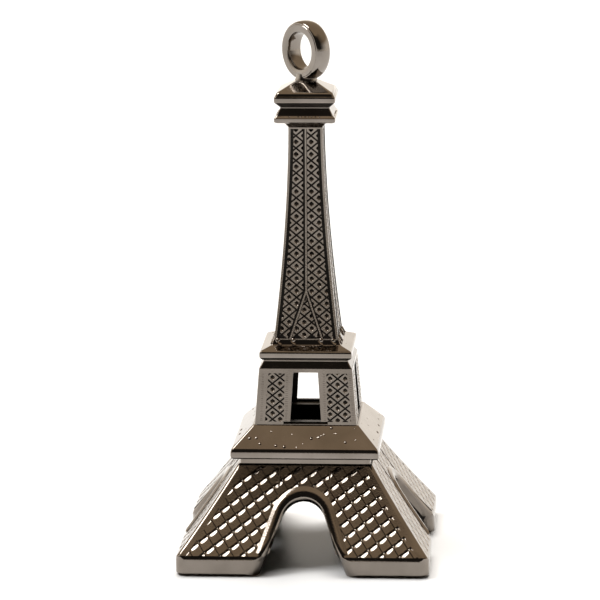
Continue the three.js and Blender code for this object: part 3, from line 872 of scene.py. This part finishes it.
def arcade_tier():
    opening = [
        (-WINDOW_SILL_HALF, WINDOW_SILL),
        (WINDOW_SILL_HALF, WINDOW_SILL),
        (WINDOW_HEAD_HALF, WINDOW_HEAD),
        (-WINDOW_HEAD_HALF, WINDOW_HEAD),
    ]
    window = prism(opening, -FOOT_HALF, FOOT_HALF)
    across = turned_copy(window, 1)
    neck = stack(
        eased([
            (ARCADE_FACE_TOP_HALF - 0.02, ARCADE_FACE_TOP - 0.14, 0),
            (ARCADE_FACE_TOP_HALF, ARCADE_FACE_TOP - 0.04, 0.08),
            (ARCADE_NECK_HALF, ARCADE_NECK_FOOT + 0.05, 0.03),
            (ARCADE_NECK_HALF, ARCADE_TOP, 0),
        ]),
        0.12,
    )
    front = -ARCADE_HALF
    sill_top = WINDOW_SILL - 0.01
    slope = [(front - OVERRUN, FIRST_TOP), (front - 0.03, FIRST_TOP), (front + 0.2, sill_top)]
    slope.append((front - OVERRUN, sill_top))
    sill = swept([[(x, y, z) for y, z in slope] for x in (-SILL_STEP_HALF, SILL_STEP_HALF)])
    panels = on_four_faces(joined([arcade_panel(*edges) for edges in ARCADE_PANELS]))
    lattices = on_four_faces(joined([arcade_lattice(*edges) for edges in ARCADE_PANELS]))
    steps = [
        ("DIFFERENCE", panels),
        ("UNION", arcade_skin(-ARCADE_DEPTH)),
        ("UNION", lattices),
        ("DIFFERENCE", on_four_faces(sill)),
        ("UNION", neck),
        ("UNION", stack([(BOX_HALF, BOX_FOOT), (BOX_HALF, FIRST_TOP + 0.1)], PEG_CORNER)),
        ("DIFFERENCE", window),
        ("DIFFERENCE", across),
        ("DIFFERENCE", stack([(ROOM_HALF, ROOM_FLOOR), (ROOM_HALF, HALL_FLOOR + 0.1)], PEG_CORNER)),
        ("DIFFERENCE", stack([(HALL_FOOT_HALF, HALL_FLOOR), (HALL_TOP_HALF, HALL_TOP)], 0.1)),
    ]
    for foot_x, head_x in ((-1.72, -1.6), (-3.9, -3.72), (1.72, 1.6), (4.2, 3.86)):
        steps.append(("UNION", on_four_faces(ticked_band(foot_x, head_x))))
    body = combine(arcade_skin(0), steps)
    sill_specks = [
        speck((x, front + 0.13, WINDOW_SILL - 0.09), (0, -0.77, 0.64), 0.12, 0.08)
        for x in (-0.75, -0.25, 0.2, 0.62)
    ]
    combine(body, [("UNION", on_four_faces(joined(sill_specks)))])

    # Painted shade: the sill step, the window's inside and the floors of the lattice panels take the dark
    # metal.
    def in_painted_shade(x, y, z):
        depth = arcade_half(z) - off_axis(x, y)
        on_sill = depth > SILL_DARK and z < WINDOW_SILL + 0.05 and min(abs(x), abs(y)) < WINDOW_SILL_HALF
        return on_sill or (depth > ARCADE_DARK and z < ARCADE_FACE_TOP - 0.2)

    name = "arcade_casting"
    finish_piece(body, name, "tower", LATTICE_METAL, ["arcade_tier"], in_painted_shade=in_painted_shade)


# ---------------------------------------------------------------- spire
def spire_half(z):
    """Half width of the spire at a height: a concave taper."""
    drop = min(max((SPIRE_TOP - z) / (SPIRE_TOP - SPIRE_BOTTOM), 0), 1)
    return SPIRE_TOP_HALF + (SPIRE_FOOT_HALF - SPIRE_TOP_HALF) * drop**SPIRE_CURVE


def on_spire(x, z, rise):
    return (x, -spire_half(z) - rise, z)


def spire_skin(offset):
    steps = 28
    levels = [SPIRE_BOTTOM + (SPIRE_TOP - SPIRE_BOTTOM) * k / steps for k in range(steps + 1)]
    return stack([(spire_half(z) + offset, z) for z in levels], 0.06)


def spire_panel(border):
    """Cutter for the recess of one face, inside a border."""
    foot, high = SPIRE_BOTTOM + 0.1, SPIRE_TOP - 0.12
    steps = 24
    right = []
    for k in range(steps + 1):
        z = foot + (high - foot) * k / steps
        right.append((spire_half(z) - border, z))
    outline = right + [(-x, z) for x, z in right][::-1]
    return prism(outline, -SPIRE_FOOT_HALF - OVERRUN, -SPIRE_TOP_HALF / 2)


def strip(path, left, right):
    """A cutter along a path of (x, z) points, wider on one side than on the other."""
    foot, head = path
    outline = [(foot[0] - left, foot[1]), (foot[0] + right, foot[1])]
    outline += [(head[0] + right, head[1]), (head[0] - left, head[1])]
    return prism(outline, -SPIRE_FOOT_HALF - OVERRUN, -SPIRE_TOP_HALF / 2)


def spire():
    lattice = pads(
        on_spire,
        SPIRE_PAD_CENTRE,
        SPIRE_PAD_STEPS,
        wanted=lambda x, z: abs(x) < spire_half(z) + 0.3 and SPIRE_BOTTOM + 0.35 < z < SPIRE_TOP + 0.4,
        pad=DIAMOND_PAD,
        depth=SPIRE_DEPTH,
    )
    fork_foot = SPIRE_FOOT_HALF / 2
    middle_path = ((0, SPIRE_FORK), (0, SPIRE_TOP - 0.05))
    fork_paths = [((side * fork_foot, SPIRE_BOTTOM + 0.05), (0, SPIRE_FORK + 0.1)) for side in (-1, 1)]
    combine(lattice, [
        ("INTERSECT", spire_panel(SPIRE_BORDER + SPIRE_GROOVE)),
        ("DIFFERENCE", strip(middle_path, 0.24, 0.12)),
        ("DIFFERENCE", strip(fork_paths[0], 0.26, 0.13)),
        ("DIFFERENCE", strip(fork_paths[1], 0.2, 0.2)),
    ])
    root = -SINK - SPIRE_DEPTH
    section = [(-0.12, root), (-0.1, -0.05), (-0.07, 0), (0.07, 0), (0.1, -0.05), (0.12, root)]
    middle = bar(on_spire, line(*middle_path, 24), section)
    forks = [bar(on_spire, line(*path, 10), section) for path in fork_paths]
    body = combine(spire_skin(0), [
        ("DIFFERENCE", on_four_faces(spire_panel(SPIRE_BORDER))),
        ("UNION", spire_skin(-SPIRE_DEPTH)),
        ("UNION", on_four_faces(lattice)),
        ("UNION", on_four_faces(middle)),
        ("UNION", on_four_faces(forks[0])),
        ("UNION", on_four_faces(forks[1])),
    ])

    # Painted shade: the floors of the face's recesses take the near-black metal.
    def in_painted_shade(x, y, z):
        return spire_half(z) - off_axis(x, y) > SPIRE_DARK

    name = "spire_casting"
    finish_piece(
        body, name, "tower", LATTICE_METAL, ["spire"], in_painted_shade=in_painted_shade, dark=PAINTED_RECESS_SHADE_METAL
    )


# ---------------------------------------------------------------- gallery and roof
def gallery_deck():
    body = stack(
        eased([
            (COLLAR_HALF, DECK_BOTTOM, 0),
            (COLLAR_TOP_HALF, COLLAR_TOP, 0.08),
            (GALLERY_HALF - 0.2, DECK_EAVE_BOTTOM, 0.04),
            (GALLERY_HALF, DECK_EAVE_BOTTOM + 0.12, 0.06),
            (GALLERY_HALF, DECK_EAVE_TOP, 0.05),
            (GALLERY_HALF - DECK_LEDGE, DECK_EAVE_TOP + DECK_LEDGE, 0.03),
            (GALLERY_NECK_HALF, DECK_NECK_FOOT, 0.03),
            (GALLERY_NECK_HALF, DECK_TOP, 0),
        ]),
        0.12,
    )
    inset = DECK_LEDGE * 0.7
    specks = [
        speck((x, inset - GALLERY_HALF, DECK_EAVE_TOP + inset), (0, -0.7, 0.7), 0.15, 0.1)
        for x in (-1.35, -0.55, -0.3, 0.05, 0.3, 0.62, 0.95, 1.3)
    ]
    combine(body, [("UNION", on_four_faces(joined(specks)))])
    finish_piece(body, "gallery_deck_casting", "tower", SMOOTH_METAL, ["gallery_deck"])


def gallery_cornice():
    body = stack(
        eased([
            (GALLERY_NECK_HALF, CORNICE_BOTTOM, 0),
            (GALLERY_HALF, CORNICE_EAVE_BOTTOM, 0.06),
            (GALLERY_HALF, CORNICE_EAVE_TOP, 0.05),
            (ROOF_HALF + 0.1, CORNICE_TOP, 0),
        ]),
        0.2,
    )

    # Painted shade: the underside of the cornice takes the dark metal.
    def in_painted_shade(x, y, z):
        return z < CORNICE_EAVE_BOTTOM - 0.05

    name = "gallery_cornice_casting"
    finish_piece(body, name, "tower", SMOOTH_METAL, ["gallery_cornice"], in_painted_shade=in_painted_shade)


def roof_cap():
    body = stack(
        eased([
            (ROOF_HALF + 0.1, CORNICE_TOP, 0),
            (ROOF_HALF - 0.04, ROOF_EDGE, 0.12),
            (ROOF_TOP_HALF, ROOF_TOP, 0.1),
            (ROOF_TOP_HALF - 0.15, ROOF_TOP, 0),
        ], 5),
        0.25,
    )
    combine(body, [
        ("DIFFERENCE", cylinder(STEM_RADIUS + 0.05, CORNICE_TOP - OVERRUN, ROOF_TOP + OVERRUN)),
        ("DIFFERENCE", cylinder(WASHER_POCKET_RADIUS, CORNICE_TOP - OVERRUN, WASHER_POCKET_TOP)),
    ])
    finish_piece(body, "roof_cap_casting", "tower", SMOOTH_METAL, ["roof_cap"])


# ---------------------------------------------------------------- swivel eye
def eye_ring():
    """The ring: flat sides with a fine step near the rim, a barrel-shaped rim, an eased hole."""
    half = EYE_HALF_THICKNESS
    flat_to = EYE_RADIUS - 0.26
    section = [(EYE_HOLE_RADIUS, -half + 0.14), (EYE_HOLE_RADIUS + 0.05, -half + 0.04)]
    section += [(EYE_HOLE_RADIUS + 0.14, -half), (flat_to - 0.1, -half), (flat_to - 0.06, -half + 0.04)]
    rim_steps = 12
    for k in range(rim_steps + 1):
        angle = math.pi * (k / rim_steps - 0.5)
        section.append((flat_to + (EYE_RADIUS - flat_to) * math.cos(angle), (half - 0.03) * math.sin(angle)))
    section += [(flat_to - 0.06, half - 0.04), (flat_to - 0.1, half), (EYE_HOLE_RADIUS + 0.14, half)]
    section += [(EYE_HOLE_RADIUS + 0.05, half - 0.04), (EYE_HOLE_RADIUS, half - 0.14)]
    steps = 96
    n = len(section)
    verts, faces = [], []
    for k in range(steps):
        angle = 2 * math.pi * k / steps
        verts += [(r * math.cos(angle), s, r * math.sin(angle)) for r, s in section]
    for k in range(steps):
        a, b = k * n, (k + 1) % steps * n
        faces += [(a + i, a + (i + 1) % n, b + (i + 1) % n, b + i) for i in range(n)]
    ring = solid(verts, faces)
    ring.data.transform(Matrix.Translation((0, 0, EYE_CENTRE)) @ Matrix.Rotation(-EYE_TURN, 4, "Z"))
    return ring


def hanging_eye():
    """The ring on its neck, with a stem through the roof that is headed over the washer."""
    shoulder = ROOF_TOP + 0.05
    head_top = EYE_FOOT + 0.35
    neck = lathe(
        [
            (0, EYE_FOOT),
            (0.77, EYE_FOOT),
            (1.1, EYE_FOOT + 0.17),
            (1.1, head_top),
            (STEM_RADIUS, head_top),
            (STEM_RADIUS, shoulder),
            (0.97, shoulder),
            (1.0, shoulder + 0.04),
            (0.97, shoulder + 0.12),
            (0.9, shoulder + 0.3),
            (0.86, shoulder + 0.6),
            (0, shoulder + 0.75),
        ],
        48,
    )
    body = combine(eye_ring(), [("UNION", neck)])
    finish_piece(body, "hanging_eye_casting", "eye", EYE_METAL, ["hanging_eye"])


# ---------------------------------------------------------------- the pieces
leg_base()
first_platform()
arcade_tier()
second_platform()
spire()
gallery_deck()
gallery_cornice()
roof_cap()
hanging_eye()
for fastener in ("eye_washer", "base_screw", "base_washer"):
    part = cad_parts[fastener]
    part.data.materials.clear()
    part.data.materials.append(STEEL)


# ---------------------------------------------------------------- stage
def floor():
    """A wide pale floor at the height of the feet, in metres like the rest of the stage."""
    half = 2.5
    plane = solid([(-half, -half, 0), (half, -half, 0), (half, half, 0), (-half, half, 0)], [(0, 1, 2, 3)])
    plane.name = "floor"
    material = bpy.data.materials.new("pale_floor")
    material.use_nodes = True
    tree = material.node_tree
    shader = tree.nodes["Principled BSDF"]
    place = node(tree, "ShaderNodeTexCoord").outputs["Object"]
    tone = ramp(tree, noise(tree, place, 30, 3), [(0.3, (0.86, 0.85, 0.84)), (0.7, (0.88, 0.88, 0.88))])
    tree.links.new(tone, shader.inputs["Base Color"])
    shader.inputs["Roughness"].default_value = 0.35
    shader.inputs["Specular IOR Level"].default_value = 0.3
    plane.data.materials.append(material)


def sun(name, towards, degrees, strength, colour=(1, 1, 1), in_reflections=True):
    """A wide distant lamp in a direction, degrees across."""
    data = bpy.data.lights.new(name, "SUN")
    data.angle = math.radians(degrees)
    data.energy = strength
    data.color = colour
    lamp = bpy.data.objects.new(name, data)
    bpy.context.scene.collection.objects.link(lamp)
    lamp.visible_glossy = in_reflections
    lamp.rotation_mode = "QUATERNION"
    lamp.rotation_quaternion = Vector(towards).normalized().to_track_quat("Z", "Y")


def studio_world():
    """White walls near the ground, a dim warm ceiling and a dark side where the viewer stands."""
    world = bpy.data.worlds.new("studio")
    bpy.context.scene.world = world
    world.use_nodes = True
    tree = world.node_tree
    background = tree.nodes["Background"]
    direction = node(tree, "ShaderNodeTexCoord").outputs["Generated"]
    parts = node(tree, "ShaderNodeSeparateXYZ")
    tree.links.new(direction, parts.inputs[0])
    white, ceiling, dark = (0.94, 0.88, 0.8), (0.36, 0.28, 0.195), (0.018, 0.016, 0.014)
    horizon = (0.42, 0.39, 0.35)
    height = parts.outputs["Z"]
    walls = ramp(tree, height, [(0.0, white), (0.25, white), (0.45, ceiling), (1.0, ceiling)])
    front_stops = [(0.0, horizon), (0.05, horizon), (0.12, dark), (0.79, dark), (0.845, ceiling)]
    front = ramp(tree, height, front_stops)
    facing = node(tree, "ShaderNodeMapRange")
    facing.inputs["From Min"].default_value = 0.1
    facing.inputs["From Max"].default_value = -0.5
    depth = parts.outputs["Y"]
    tree.links.new(depth, facing.inputs["Value"])
    mix = node(tree, "ShaderNodeMix", data_type="RGBA")
    tree.links.new(facing.outputs["Result"], mix.inputs["Factor"])
    tree.links.new(walls, mix.inputs["A"])
    tree.links.new(front, mix.inputs["B"])
    tree.links.new(mix.outputs["Result"], background.inputs["Color"])
    background.inputs["Strength"].default_value = 1.6
    world.cycles_visibility.diffuse = False


def camera():
    """At the viewer's side: a little to the right of the front face and a little above it."""
    azimuth, elevation, roll = math.radians(3.99), math.radians(11.71), math.radians(-0.5)
    distance, aim_height = 0.3104, 0.02223
    back = Vector((
        math.sin(azimuth) * math.cos(elevation),
        -math.cos(azimuth) * math.cos(elevation),
        math.sin(elevation),
    ))
    data = bpy.data.cameras.new("camera")
    data.sensor_width = 36
    data.lens = 211.1
    data.shift_x = -0.0135
    data.clip_start = 0.01
    data.clip_end = 10
    eye = bpy.data.objects.new("camera", data)
    bpy.context.scene.collection.objects.link(eye)
    eye.location = Vector((0, 0, aim_height)) + back * distance
    right = Vector((0, 0, 1)).cross(back).normalized()
    up = back.cross(right)
    turned_right = right * math.cos(roll) + up * math.sin(roll)
    turned_up = up * math.cos(roll) - right * math.sin(roll)
    axes = Matrix((turned_right, turned_up, back)).transposed()
    eye.rotation_mode = "QUATERNION"
    eye.rotation_quaternion = axes.to_quaternion()
    bpy.context.scene.camera = eye


floor()
studio_world()
sun("window_left", (-0.5, 0.04, 0.865), degrees=27, strength=1.9)
sun("room_fill", (0.03, 0.34, 1), degrees=40, strength=3.5, colour=(1, 0.98, 0.95), in_reflections=False)
camera()
bpy.context.scene.view_settings.view_transform = "Standard"
